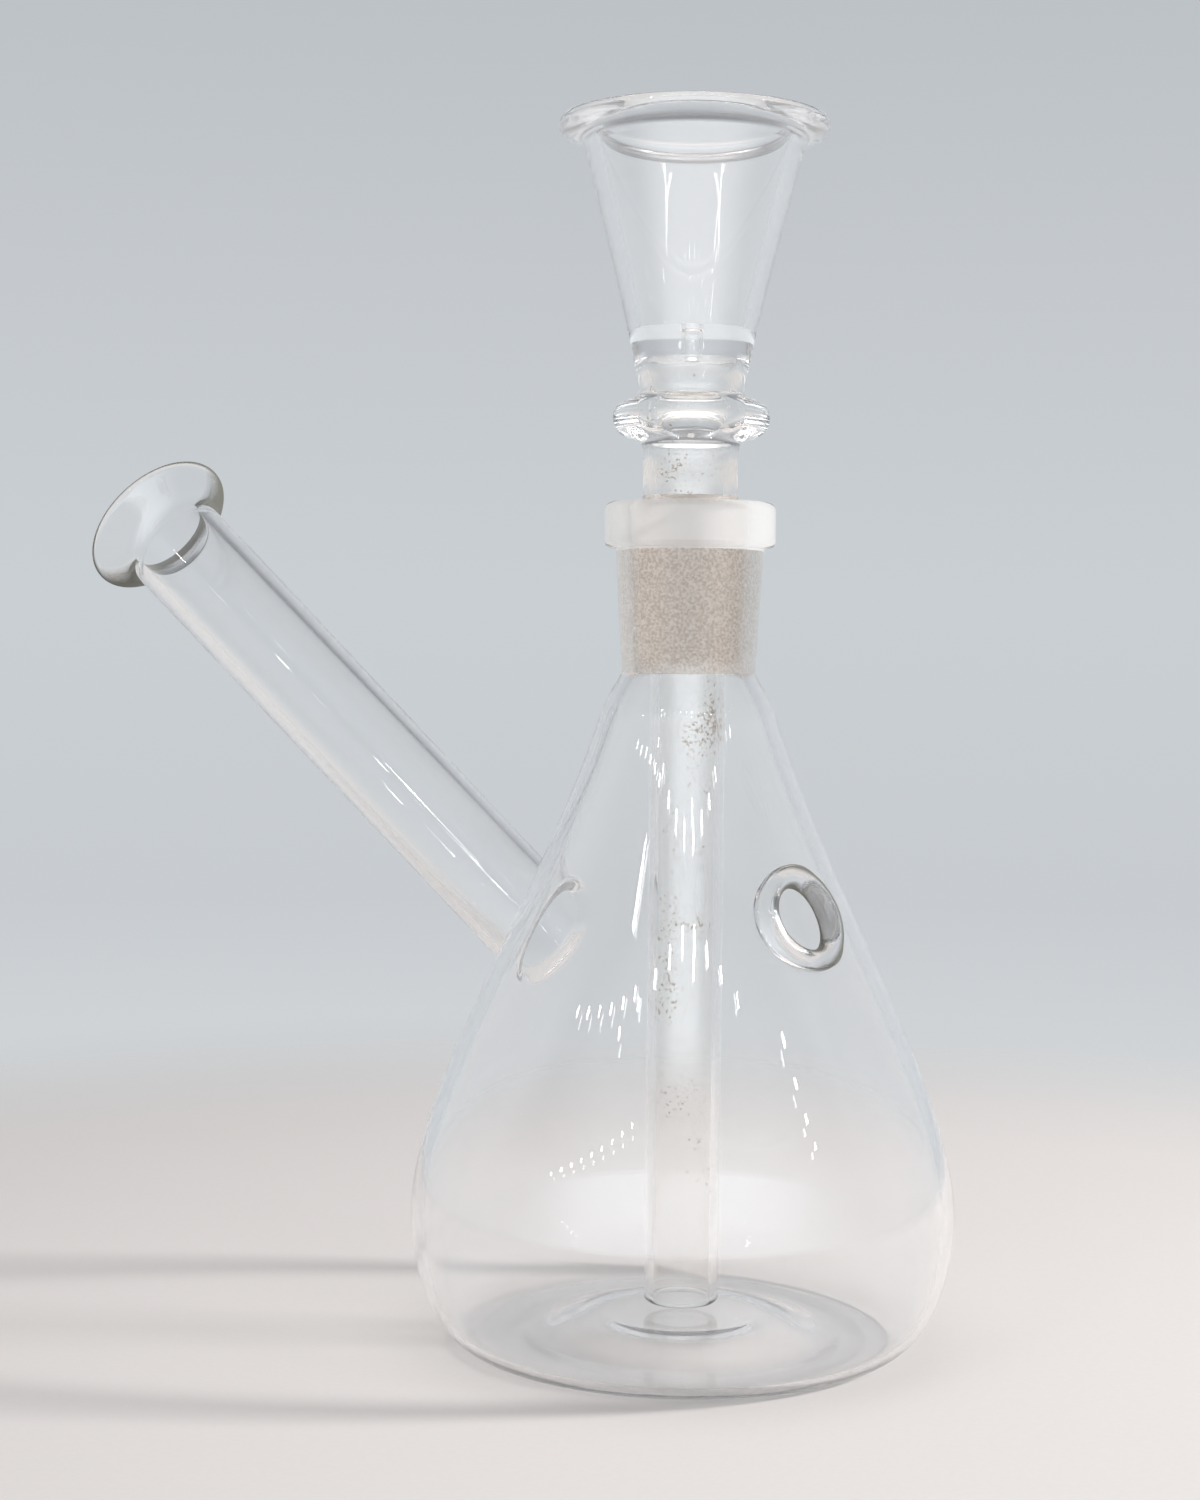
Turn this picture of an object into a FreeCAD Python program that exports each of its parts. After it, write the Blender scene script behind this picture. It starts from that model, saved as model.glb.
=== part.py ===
import FreeCAD, Part
import math
import os

# Clear glass water pipe: a pear-shaped flask with an angled mouth tube and a vent hole,
# and a lift-out funnel bowl that sits in a ground-glass joint with a long down tube.
# The origin is the centre of the flask's base ring on the table and +Z is up.
# The mouth tube leans out over -X, in the XZ plane.  All lengths are millimetres.

# ---- flask ---------------------------------------------------------------------------
FLASK_WALL = 1.9            # blown wall thickness
BASE_RING_INNER = 24.5      # flat ring that the flask stands on
BASE_RING_OUTER = 31.6
GIRTH_RADIUS = 42.4         # widest radius of the bulb
GIRTH_HEIGHT = 21.0
WAIST_RADIUS = 30.4         # side of the bulb where its curve turns hollow
WAIST_HEIGHT = 57.9
SHOULDER_RADIUS = 13.7      # foot of the short shoulder below the joint
SHOULDER_HEIGHT = 97.8
KICK_HEIGHT = 3.0           # rise of the kicked-up base, under its centre
KICK_RADIUS = 12.0          # flat middle of the kick-up
WALL_SLOPE = 0.455          # mean lean of the side, which lowers the inner outline

# ---- ground joint 18.8/26: one in ten taper on diameter ---------------------------------
JOINT_TOP_RADIUS = 9.4
JOINT_LENGTH = 26.0
JOINT_TAPER = 0.05          # change of radius per unit of length
JOINT_BOTTOM = 104.4        # height of the small end of the socket
JOINT_TOP = JOINT_BOTTOM + JOINT_LENGTH
JOINT_GAP = 0.04            # radial gap between the ground faces
SOCKET_BOTTOM_RADIUS = 10.4
SOCKET_TOP_RADIUS = 11.5
RIM_BOTTOM = 123.6
RIM_TOP = 130.9
RIM_RADIUS = 13.3
RIM_ROUND = 1.3
RIM_BEVEL = 0.5             # bevel of the bore's edge, to let the cone in

# ---- mouth tube --------------------------------------------------------------------------
MOUTH_TILT = 38.0           # degrees above the horizontal
MOUTH_AXIS_HEIGHT = 40.6    # where the tube's axis meets the flask's axis
MOUTH_BORE_RADIUS = 6.9
TUBE_START = 45.0           # distances along the tube's axis from the flask's axis
TUBE_END = 138.2
TUBE_START_RADIUS = 8.3
TUBE_END_RADIUS = 9.2
LIP_LENGTH = 6.2
LIP_RADIUS = 12.75          # centre of the rolled edge
LIP_ROUND = 1.15
WELD_RADIUS = 14.5          # reach of the weld around the tube's axis
WELD_FILLET = 1.6           # outside, where the tube meets the wall
WELD_INNER_FILLET = 2.2     # inside, where the bore opens into the flask

# ---- vent ----------------------------------------------------------------------------------
VENT_AZIMUTH = -13.0        # degrees from +X, seen from above
VENT_HEIGHT = 68.6
VENT_SURFACE_RADIUS = 25.45
VENT_SLOPE = 24.5           # degrees that its axis points up
VENT_HOLE_RADIUS = 4.95
VENT_BEAD_RADIUS = 6.35
VENT_BEAD_ROUND = 1.6
VENT_BEAD_DEPTH = 0.9
VENT_REACH = 8.6            # radius round the hole that the rim's piece takes of the wall

# ---- lift-out bowl ---------------------------------------------------------------------------
DOWN_TUBE_END = 6.3
DOWN_TUBE_RADIUS = 5.8
DOWN_TUBE_BORE = 4.4
CONE_BOTTOM = 105.9
CONE_TOP = 130.1
CONE_CHAMFER = 0.5
NECK_BOTTOM = 131.9         # each piece ends where its outer and bore radii are named here
NECK_BOTTOM_RADIUS = 7.4
NECK_BOTTOM_BORE = 5.1
RING_BOTTOM = 139.9
RING_BOTTOM_RADIUS = 7.7
RING_BOTTOM_BORE = 6.3
RING_MIDDLE = 143.9
RING_RADIUS = 12.15
RING_TOP = 147.5
RING_TOP_RADIUS = 8.25
RING_TOP_BORE = 5.9
FLOOR_BOTTOM = 153.0
FLOOR_BOTTOM_RADIUS = 9.05
FLOOR_BOTTOM_BORE = 7.0
FLOOR_TOP = 157.6
FLOOR_TOP_RADIUS = 10.05
BOWL_BOTTOM_BORE = 7.9
FLOOR_HOLE_RADIUS = 1.15
BOWL_TOP = 185.9            # where the wall turns out into the rim
BOWL_TOP_RADIUS = 17.1
BOWL_TOP_BORE = 14.5
BOWL_RIM_TOP = 190.0
BOWL_RIM_RADIUS = 20.9
BOWL_RIM_NOSE = 1.4         # radius of the rim's round edge
BOWL_RIM_BORE = 15.8        # where the rim's top turns down into the bowl

QUARTER = 0.5523            # pole distance of a quarter circle drawn as one Bezier span
DIAGONAL = math.sqrt(0.5)   # sine and cosine of 45 degrees
UP = FreeCAD.Vector(0, 0, 1)
ORIGIN = FreeCAD.Vector(0, 0, 0)


def at(radius, height):
    """A point of an outline in the XZ half plane."""
    return FreeCAD.Vector(radius, 0, height)


def line(start, end):
    return Part.LineSegment(at(*start), at(*end)).toShape()


def bezier(*poles):
    """One Bezier span through the given (radius, height) poles."""
    curve = Part.BezierCurve()
    curve.setPoles([at(*pole) for pole in poles])
    return curve.toShape()


def arc(start, middle, end):
    return Part.Arc(at(*start), at(*middle), at(*end)).toShape()


def revolve(edges):
    """Turn a closed outline once about Z."""
    return Part.Face(Part.Wire(edges)).revolve(ORIGIN, UP, 360)


def chain(*points):
    """Straight edges from point to point, closed."""
    corners = list(points) + [points[0]]
    return [line(a, b) for a, b in zip(corners[:-1], corners[1:])]


def joint_radius(height):
    """Radius of the ground taper at a height."""
    return JOINT_TOP_RADIUS - (JOINT_TOP - height) * JOINT_TAPER


def on_axis(shape, base, azimuth, tilt):
    """Move a shape made about Z so that its axis starts at base and points out and up."""
    turn = FreeCAD.Rotation(UP, azimuth) * FreeCAD.Rotation(FreeCAD.Vector(0, 1, 0), 90 - tilt)
    moved = shape.copy()
    moved.Placement = FreeCAD.Placement(base, turn)
    return moved


def along_mouth(shape):
    return on_axis(shape, FreeCAD.Vector(0, 0, MOUTH_AXIS_HEIGHT), 180, MOUTH_TILT)


def along_vent(shape):
    angle = math.radians(VENT_AZIMUTH)
    x = VENT_SURFACE_RADIUS * math.cos(angle)
    y = VENT_SURFACE_RADIUS * math.sin(angle)
    return on_axis(shape, FreeCAD.Vector(x, y, VENT_HEIGHT), VENT_AZIMUTH, VENT_SLOPE)


def side_poles(inset):
    """Spans of the bulb's side from its girth up to the joint, moved in by the wall."""
    drop = inset * WALL_SLOPE
    girth = (GIRTH_RADIUS - inset, GIRTH_HEIGHT)
    waist = (WAIST_RADIUS - inset, WAIST_HEIGHT - drop)
    shoulder = (SHOULDER_RADIUS - inset, SHOULDER_HEIGHT - drop)
    lower = (girth, (girth[0], girth[1] + 9.3), (waist[0] + 5.9, waist[1] - 13.0), waist)
    upper = (waist, (waist[0] - 5.9, waist[1] + 13.0),
             (shoulder[0] + 4.0, shoulder[1] - 13.0), shoulder)
    return lower, upper


def flask_outer():
    """The flask as if it were solid, up to the joint."""
    lower, upper = side_poles(0)
    heel_reach = (GIRTH_RADIUS - BASE_RING_OUTER) * QUARTER
    heel = bezier((BASE_RING_OUTER, 0), (BASE_RING_OUTER + heel_reach, 0),
                  (GIRTH_RADIUS, GIRTH_HEIGHT * (1 - QUARTER)), (GIRTH_RADIUS, GIRTH_HEIGHT))
    shoulder = bezier(upper[-1], (SHOULDER_RADIUS - 0.8, SHOULDER_HEIGHT + 2.6),
                      (SOCKET_BOTTOM_RADIUS + 1.8, JOINT_BOTTOM - 1.2),
                      (SOCKET_BOTTOM_RADIUS, JOINT_BOTTOM))
    kick = bezier((KICK_RADIUS, KICK_HEIGHT), (17.5, KICK_HEIGHT), (19.0, 0), (BASE_RING_INNER, 0))
    return revolve([
        line((0, KICK_HEIGHT), (KICK_RADIUS, KICK_HEIGHT)), kick,
        line((BASE_RING_INNER, 0), (BASE_RING_OUTER, 0)), heel,
        bezier(*lower), bezier(*upper), shoulder,
        line((SOCKET_BOTTOM_RADIUS, JOINT_BOTTOM), (0, JOINT_BOTTOM)),
        line((0, JOINT_BOTTOM), (0, KICK_HEIGHT))])


def flask_inner():
    """The space inside the flask."""
    lower, upper = side_poles(FLASK_WALL)
    girth_radius = GIRTH_RADIUS - FLASK_WALL
    trough_radius = BASE_RING_OUTER + 0.6
    neck_radius = joint_radius(JOINT_BOTTOM)
    floor = KICK_HEIGHT + FLASK_WALL
    heel_reach = (girth_radius - trough_radius) * QUARTER
    heel = bezier((trough_radius, FLASK_WALL), (trough_radius + heel_reach, FLASK_WALL),
                  (girth_radius, FLASK_WALL + (GIRTH_HEIGHT - FLASK_WALL) * (1 - QUARTER)),
                  (girth_radius, GIRTH_HEIGHT))
    shoulder = bezier(upper[-1], (upper[-1][0] - 0.8, upper[-1][1] + 2.6),
                      (neck_radius + 1.3, JOINT_BOTTOM - 2.4), (neck_radius, JOINT_BOTTOM))
    kick = bezier((KICK_RADIUS, floor), (17.5, floor), (20.5, FLASK_WALL),
                  (BASE_RING_INNER + 1.5, FLASK_WALL))
    return revolve([
        line((0, floor), (KICK_RADIUS, floor)), kick,
        line((BASE_RING_INNER + 1.5, FLASK_WALL), (trough_radius, FLASK_WALL)), heel,
        bezier(*lower), bezier(*upper), shoulder,
        line((neck_radius, JOINT_BOTTOM), (0, JOINT_BOTTOM)),
        line((0, JOINT_BOTTOM), (0, floor))])


def through_vent(radius):
    """Cylinder about the vent's axis, long enough to cross the wall."""
    return along_vent(Part.makeCylinder(radius, 20, FreeCAD.Vector(0, 0, -12)))


def flask_body(outer, inner):
    """Blown bulb with its kicked-up base, open where the mouth tube and the vent go in."""
    weld_hole = along_mouth(Part.makeCylinder(WELD_RADIUS, TUBE_START + 10))
    return outer.cut(inner).cut(weld_hole).cut(through_vent(VENT_REACH))


def neck_socket():
    """Ground socket of the joint, without its rim."""
    return revolve(chain(
        (joint_radius(JOINT_BOTTOM), JOINT_BOTTOM), (SOCKET_BOTTOM_RADIUS, JOINT_BOTTOM),
        (SOCKET_TOP_RADIUS, RIM_BOTTOM), (joint_radius(RIM_BOTTOM), RIM_BOTTOM)))


def socket_rim():
    """Thick reinforcing collar round the mouth of the socket."""
    inner_low = (joint_radius(RIM_BOTTOM), RIM_BOTTOM)
    inner_top = (JOINT_TOP_RADIUS, JOINT_TOP)
    bevel = (JOINT_TOP_RADIUS + RIM_BEVEL, RIM_TOP)
    bend = RIM_ROUND * (1 - DIAGONAL)
    return revolve([
        line(inner_low, (RIM_RADIUS - RIM_ROUND, RIM_BOTTOM)),
        arc((RIM_RADIUS - RIM_ROUND, RIM_BOTTOM), (RIM_RADIUS - bend, RIM_BOTTOM + bend),
            (RIM_RADIUS, RIM_BOTTOM + RIM_ROUND)),
        line((RIM_RADIUS, RIM_BOTTOM + RIM_ROUND), (RIM_RADIUS, RIM_TOP - RIM_ROUND)),
        arc((RIM_RADIUS, RIM_TOP - RIM_ROUND), (RIM_RADIUS - bend, RIM_TOP - bend),
            (RIM_RADIUS - RIM_ROUND, RIM_TOP)),
        line((RIM_RADIUS - RIM_ROUND, RIM_TOP), bevel), line(bevel, inner_top), line(inner_top, inner_low)])


def mouth_tube():
    """Straight tube that the user draws from, a little wider towards the mouth."""
    tube = revolve(chain(
        (MOUTH_BORE_RADIUS, TUBE_START), (TUBE_START_RADIUS, TUBE_START),
        (TUBE_END_RADIUS, TUBE_END), (MOUTH_BORE_RADIUS, TUBE_END)))
    return along_mouth(tube)


def mouth_lip():
    """Flared mouthpiece with a fire-polished round edge."""
    edge = TUBE_END + LIP_LENGTH
    lean = LIP_ROUND * DIAGONAL
    outer_end = (LIP_RADIUS + lean, edge - lean)
    inner_end = (LIP_RADIUS - lean, edge + lean)
    lip = revolve([
        line((MOUTH_BORE_RADIUS, TUBE_END), (TUBE_END_RADIUS, TUBE_END)),
        bezier((TUBE_END_RADIUS, TUBE_END), (TUBE_END_RADIUS + 0.1, TUBE_END + 2.6),
               (outer_end[0] - 2.0, outer_end[1] - 2.0), outer_end),
        arc(outer_end, (LIP_RADIUS + lean, edge + lean), inner_end),
        bezier(inner_end, (inner_end[0] - 2.2, inner_end[1] - 2.2),
               (MOUTH_BORE_RADIUS, TUBE_END + 3.0), (MOUTH_BORE_RADIUS, TUBE_END))])
    return along_mouth(lip)


def mouth_tube_weld(outer, inner):
    """Ring of worked glass that blends the flask's wall into the foot of the tube."""
    tube = along_mouth(Part.makeCylinder(TUBE_START_RADIUS, TUBE_START))
    bore = along_mouth(Part.makeCylinder(MOUTH_BORE_RADIUS, TUBE_START + 1))
    reach = along_mouth(Part.makeCylinder(WELD_RADIUS, TUBE_START))
    solid = blend(outer.fuse(tube), TUBE_START_RADIUS, WELD_FILLET)
    hollow = blend(inner.fuse(bore), MOUTH_BORE_RADIUS, WELD_INNER_FILLET)
    return solid.common(reach).cut(hollow)


def blend(shape, radius, fillet):
    """Round the seam where a cylinder of this radius about the tube's axis meets the flask."""
    seams = [edge for edge in shape.Edges if is_weld_seam(edge, radius)]
    return shape.makeFillet(fillet, seams)


def is_weld_seam(edge, radius):
    """True for an edge that lies on that cylinder, between the flask's axis and the tube's foot."""
    axis = FreeCAD.Vector(-math.cos(math.radians(MOUTH_TILT)), 0, math.sin(math.radians(MOUTH_TILT)))
    start = FreeCAD.Vector(0, 0, MOUTH_AXIS_HEIGHT)
    for fraction in (0.1, 0.5, 0.9):
        span = edge.LastParameter - edge.FirstParameter
        point = edge.valueAt(edge.FirstParameter + span * fraction).sub(start)
        reach = point.dot(axis)
        off_axis = point.sub(axis * reach).Length
        if abs(off_axis - radius) > 0.01 or reach < 20 or reach > TUBE_START - 0.5:
            return False
    return True


def vent_rim(outer, inner):
    """Fire-polished ring round the vent hole, thicker than the wall that it ends."""
    wall = outer.cut(inner).common(through_vent(VENT_REACH))
    bead = Part.makeTorus(VENT_BEAD_RADIUS, VENT_BEAD_ROUND, FreeCAD.Vector(0, 0, -VENT_BEAD_DEPTH))
    return wall.fuse(along_vent(bead)).cut(through_vent(VENT_HOLE_RADIUS))


def down_tube():
    """Long tube that leads from the joint almost to the bottom of the flask."""
    edge = (DOWN_TUBE_RADIUS - DOWN_TUBE_BORE) / 2
    middle = DOWN_TUBE_RADIUS - edge
    return revolve([
        line((DOWN_TUBE_BORE, CONE_BOTTOM), (DOWN_TUBE_BORE, DOWN_TUBE_END + edge)),
        arc((DOWN_TUBE_BORE, DOWN_TUBE_END + edge), (middle, DOWN_TUBE_END),
            (DOWN_TUBE_RADIUS, DOWN_TUBE_END + edge)),
        line((DOWN_TUBE_RADIUS, DOWN_TUBE_END + edge), (DOWN_TUBE_RADIUS, CONE_BOTTOM)),
        line((DOWN_TUBE_RADIUS, CONE_BOTTOM), (DOWN_TUBE_BORE, CONE_BOTTOM))])


def ground_cone():
    """Ground cone of the joint, which carries the bowl."""
    low = joint_radius(CONE_BOTTOM) - JOINT_GAP
    high = joint_radius(CONE_TOP) - JOINT_GAP
    chamfer_start = (low - CONE_CHAMFER, CONE_BOTTOM)
    chamfer_end = (low + CONE_CHAMFER * JOINT_TAPER, CONE_BOTTOM + CONE_CHAMFER)
    shoulder = CONE_TOP + 0.9
    return revolve([
        line((DOWN_TUBE_BORE, CONE_BOTTOM), chamfer_start),
        line(chamfer_start, chamfer_end),
        line(chamfer_end, (high, CONE_TOP)),
        bezier((high, CONE_TOP), (high, shoulder), (NECK_BOTTOM_RADIUS, shoulder),
               (NECK_BOTTOM_RADIUS, NECK_BOTTOM)),
        line((NECK_BOTTOM_RADIUS, NECK_BOTTOM), (NECK_BOTTOM_BORE, NECK_BOTTOM)),
        line((NECK_BOTTOM_BORE, NECK_BOTTOM), (DOWN_TUBE_BORE, CONE_BOTTOM))])


def lower_neck():
    """Short neck between the ground cone and the grip ring."""
    return revolve([
        line((NECK_BOTTOM_BORE, NECK_BOTTOM), (NECK_BOTTOM_RADIUS, NECK_BOTTOM)),
        bezier((NECK_BOTTOM_RADIUS, NECK_BOTTOM), (NECK_BOTTOM_RADIUS - 0.2, NECK_BOTTOM + 2.6),
               (RING_BOTTOM_RADIUS - 0.4, RING_BOTTOM - 1.5), (RING_BOTTOM_RADIUS, RING_BOTTOM)),
        line((RING_BOTTOM_RADIUS, RING_BOTTOM), (RING_BOTTOM_BORE, RING_BOTTOM)),
        bezier((RING_BOTTOM_BORE, RING_BOTTOM), (RING_BOTTOM_BORE, RING_BOTTOM - 2.5),
               (NECK_BOTTOM_BORE + 0.1, NECK_BOTTOM + 2.9), (NECK_BOTTOM_BORE, NECK_BOTTOM))])


def grip_ring():
    """Solid ring pressed out of the neck, which the fingers lift the bowl by."""
    return revolve([
        line((RING_BOTTOM_BORE, RING_BOTTOM), (RING_BOTTOM_RADIUS, RING_BOTTOM)),
        bezier((RING_BOTTOM_RADIUS, RING_BOTTOM), (RING_BOTTOM_RADIUS + 0.5, RING_BOTTOM + 0.9),
               (RING_RADIUS, RING_BOTTOM + 0.6), (RING_RADIUS, RING_MIDDLE)),
        bezier((RING_RADIUS, RING_MIDDLE), (RING_RADIUS, RING_TOP - 0.6),
               (RING_TOP_RADIUS + 0.35, RING_TOP - 0.9), (RING_TOP_RADIUS, RING_TOP)),
        line((RING_TOP_RADIUS, RING_TOP), (RING_TOP_BORE, RING_TOP)),
        bezier((RING_TOP_BORE, RING_TOP), (RING_TOP_BORE - 0.4, RING_TOP - 2.0),
               (RING_BOTTOM_BORE - 0.7, RING_BOTTOM + 2.1), (RING_BOTTOM_BORE, RING_BOTTOM))])


def upper_neck():
    """Short neck between the grip ring and the floor of the bowl."""
    return revolve([
        line((RING_TOP_BORE, RING_TOP), (RING_TOP_RADIUS, RING_TOP)),
        bezier((RING_TOP_RADIUS, RING_TOP), (RING_TOP_RADIUS - 0.05, RING_TOP + 1.7),
               (FLOOR_BOTTOM_RADIUS - 0.25, FLOOR_BOTTOM - 1.6), (FLOOR_BOTTOM_RADIUS, FLOOR_BOTTOM)),
        line((FLOOR_BOTTOM_RADIUS, FLOOR_BOTTOM), (FLOOR_BOTTOM_BORE, FLOOR_BOTTOM)),
        bezier((FLOOR_BOTTOM_BORE, FLOOR_BOTTOM), (FLOOR_BOTTOM_BORE + 0.2, FLOOR_BOTTOM - 2.2),
               (RING_TOP_BORE + 0.3, RING_TOP + 2.9), (RING_TOP_BORE, RING_TOP))])


def bowl_floor():
    """Thick floor of the bowl with one small hole in its middle."""
    return revolve(chain(
        (FLOOR_HOLE_RADIUS, FLOOR_BOTTOM), (FLOOR_BOTTOM_RADIUS, FLOOR_BOTTOM),
        (FLOOR_TOP_RADIUS, FLOOR_TOP), (FLOOR_HOLE_RADIUS, FLOOR_TOP)))


def bowl_cone():
    """Funnel wall of the bowl."""
    return revolve([
        line((BOWL_BOTTOM_BORE, FLOOR_TOP), (FLOOR_TOP_RADIUS, FLOOR_TOP)),
        bezier((FLOOR_TOP_RADIUS, FLOOR_TOP), (FLOOR_TOP_RADIUS + 1.85, FLOOR_TOP + 8.4),
               (BOWL_TOP_RADIUS - 2.1, BOWL_TOP - 7.9), (BOWL_TOP_RADIUS, BOWL_TOP)),
        line((BOWL_TOP_RADIUS, BOWL_TOP), (BOWL_TOP_BORE, BOWL_TOP)),
        bezier((BOWL_TOP_BORE, BOWL_TOP), (BOWL_TOP_BORE - 1.9, BOWL_TOP - 7.9),
               (BOWL_BOTTOM_BORE + 2.0, FLOOR_TOP + 10.4), (BOWL_BOTTOM_BORE, FLOOR_TOP))])


def bowl_rim():
    """Thick flared rim of the bowl."""
    centre = BOWL_RIM_RADIUS - BOWL_RIM_NOSE
    height = BOWL_RIM_TOP - BOWL_RIM_NOSE
    lean = BOWL_RIM_NOSE * DIAGONAL
    nose_bottom = (centre + lean, height - lean)
    nose_top = (centre + lean, height + lean)
    inner_edge = (BOWL_RIM_BORE, BOWL_RIM_TOP - 0.9)
    return revolve([
        line((BOWL_TOP_BORE, BOWL_TOP), (BOWL_TOP_RADIUS, BOWL_TOP)),
        bezier((BOWL_TOP_RADIUS, BOWL_TOP), (BOWL_TOP_RADIUS + 0.4, BOWL_TOP + 0.8),
               (nose_bottom[0] - 1.0, nose_bottom[1] - 1.0), nose_bottom),
        arc(nose_bottom, (BOWL_RIM_RADIUS, height), nose_top),
        bezier(nose_top, (centre, BOWL_RIM_TOP), (BOWL_RIM_BORE + 0.8, BOWL_RIM_TOP + 0.5), inner_edge),
        bezier(inner_edge, (BOWL_RIM_BORE - 0.6, BOWL_RIM_TOP - 2.0),
               (BOWL_TOP_BORE + 0.4, BOWL_TOP + 1.2), (BOWL_TOP_BORE, BOWL_TOP))])


def build():
    outer = flask_outer()
    inner = flask_inner()
    return {
        "flask_body": flask_body(outer, inner),
        "neck_socket": neck_socket(),
        "socket_rim": socket_rim(),
        "mouth_tube": mouth_tube(),
        "mouth_lip": mouth_lip(),
        "mouth_tube_weld": mouth_tube_weld(outer, inner),
        "vent_rim": vent_rim(outer, inner),
        "bowl_rim": bowl_rim(),
        "bowl_cone": bowl_cone(),
        "bowl_floor": bowl_floor(),
        "upper_neck": upper_neck(),
        "grip_ring": grip_ring(),
        "lower_neck": lower_neck(),
        "ground_cone": ground_cone(),
        "down_tube": down_tube()}


os.makedirs("parts", exist_ok=True)
for name, shape in build().items():
    shape.Solids[0].exportStep("parts/" + name + ".step")
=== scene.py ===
import math

import bpy
import numpy as np
from mathutils import Matrix, Vector
from mathutils.kdtree import KDTree


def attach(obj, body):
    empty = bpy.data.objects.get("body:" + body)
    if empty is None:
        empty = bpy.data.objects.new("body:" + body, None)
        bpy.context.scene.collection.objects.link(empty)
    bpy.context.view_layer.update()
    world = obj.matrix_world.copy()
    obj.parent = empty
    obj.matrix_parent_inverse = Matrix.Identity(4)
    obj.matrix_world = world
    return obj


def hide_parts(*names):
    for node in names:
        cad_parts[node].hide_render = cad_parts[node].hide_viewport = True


# Clear glass water pipe: pear-shaped flask with an angled mouth tube and a vent, and a
# lift-out funnel bowl in a ground joint.  Outlines are in millimetres, as in the CAD part,
# and become metres when a mesh is made.  Every mesh stands for the CAD node of its name.

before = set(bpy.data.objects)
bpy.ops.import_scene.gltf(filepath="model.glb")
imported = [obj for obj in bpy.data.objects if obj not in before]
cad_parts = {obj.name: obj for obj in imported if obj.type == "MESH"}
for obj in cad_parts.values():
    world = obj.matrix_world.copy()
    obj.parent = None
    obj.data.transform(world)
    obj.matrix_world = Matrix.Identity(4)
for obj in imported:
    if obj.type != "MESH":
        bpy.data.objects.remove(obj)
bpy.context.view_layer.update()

MM = 0.001
SEGMENTS = 192              # steps round every turned piece
CLEAR, GROUND, WELD = 0, 1, 2    # material slots of every glass piece
GLASS_IOR = 1.473           # borosilicate

# ---- dimensions that several pieces share ---------------------------------------------
WALL = 1.9
RING_INNER, RING_OUTER = 24.5, 31.6
GIRTH = (42.4, 21.0)
WAIST = (30.4, 57.9)
SHOULDER = (13.7, 97.8)
KICK_RADIUS, KICK_HEIGHT = 12.0, 3.0
JOINT_BOTTOM, JOINT_TOP = 104.4, 130.4
JOINT_RADIUS, JOINT_SLOPE = 9.4, 0.05
RIM_BOTTOM, RIM_TOP, RIM_RADIUS, RIM_ROUND = 123.6, 130.9, 13.3, 1.3
MOUTH_TILT = math.radians(38.0)
MOUTH_BASE = np.array((0.0, 0.0, 40.6))
BORE = 6.9
TUBE_START, TUBE_END = 45.0, 138.2
TUBE_START_RADIUS, TUBE_END_RADIUS = 8.3, 9.2
WELD_RADIUS = 14.5
VENT_AZIMUTH, VENT_SLOPE = math.radians(-13.0), math.radians(24.5)
VENT_BASE = np.array((25.45 * math.cos(VENT_AZIMUTH), 25.45 * math.sin(VENT_AZIMUTH), 68.6))
VENT_REACH = 8.6
VENT_BEAD = (6.35, 1.6)
VENT_HOLE = 4.95
VENT_DEPTH = 0.9            # how far the vent's bead stands in from the wall's outer face
WELD_FILLET, WELD_INNER_FILLET = 1.6, 2.2
WELD_SPREAD = 5.7           # longest run of a fillet out from the tube
TUBE_RADIUS, TUBE_BORE, TUBE_TIP = 5.8, 4.4, 6.3        # down tube
CONE_BOTTOM, CONE_TOP, CONE_GAP = 105.9, 130.1, 0.04
NECK_BOTTOM, NECK_RADIUS, NECK_BORE = 131.9, 7.4, 5.1
RING_BOTTOM, RING_FOOT, RING_BORE = 139.9, 7.7, 6.3
RING_TOP, RING_HEAD, RING_TOP_BORE = 147.5, 8.25, 5.9
FLOOR_BOTTOM, FLOOR_FOOT, FLOOR_BORE = 153.0, 9.05, 7.0
FLOOR_TOP, BOWL_FOOT, BOWL_BORE = 157.6, 10.05, 7.9
BOWL_TOP, BOWL_MOUTH, BOWL_MOUTH_BORE = 185.9, 17.1, 14.5
HEIGHT, BOWL_RADIUS = 190.0, 20.9
BULB_TOP_RADIUS = 10.42     # where bulb and socket are fused
SOCKET_RADIUS = 11.5        # top of the socket's straight side
QUARTER = 0.5523            # pull of a bezier that draws a quarter of an ellipse
DIAGONAL = math.sqrt(0.5)


# ---- outlines ---------------------------------------------------------------------------
class Run:
    """A smooth stretch of an outline: its points, their normals and the slot of its faces.
    An outline runs up its outer side and down its inner side, so the glass is on the left."""

    def __init__(self, points, tangents, slot=CLEAR):
        self.points = [tuple(p) for p in points]
        self.normals = []
        for dr, dz in tangents:
            length = math.hypot(dr, dz) or 1.0
            self.normals.append((dz / length, -dr / length))
        self.slot = slot


def straight(start, end, steps=1, slot=CLEAR):
    direction = (end[0] - start[0], end[1] - start[1])
    points = []
    for i in range(steps + 1):
        t = i / steps
        points.append((start[0] + direction[0] * t, start[1] + direction[1] * t))
    return Run(points, [direction] * (steps + 1), slot)


def bezier(*poles, steps=24, slot=CLEAR):
    p = [np.array(pole, float) for pole in poles]
    points, tangents = [], []
    for i in range(steps + 1):
        t = i / steps
        u = 1 - t
        points.append(u**3 * p[0] + 3 * u * u * t * p[1] + 3 * u * t * t * p[2] + t**3 * p[3])
        slope = u * u * (p[1] - p[0]) + 2 * u * t * (p[2] - p[1]) + t * t * (p[3] - p[2])
        tangents.append(slope if np.linalg.norm(slope) > 1e-9 else p[3] - p[0])
    return Run(points, tangents, slot)


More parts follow.
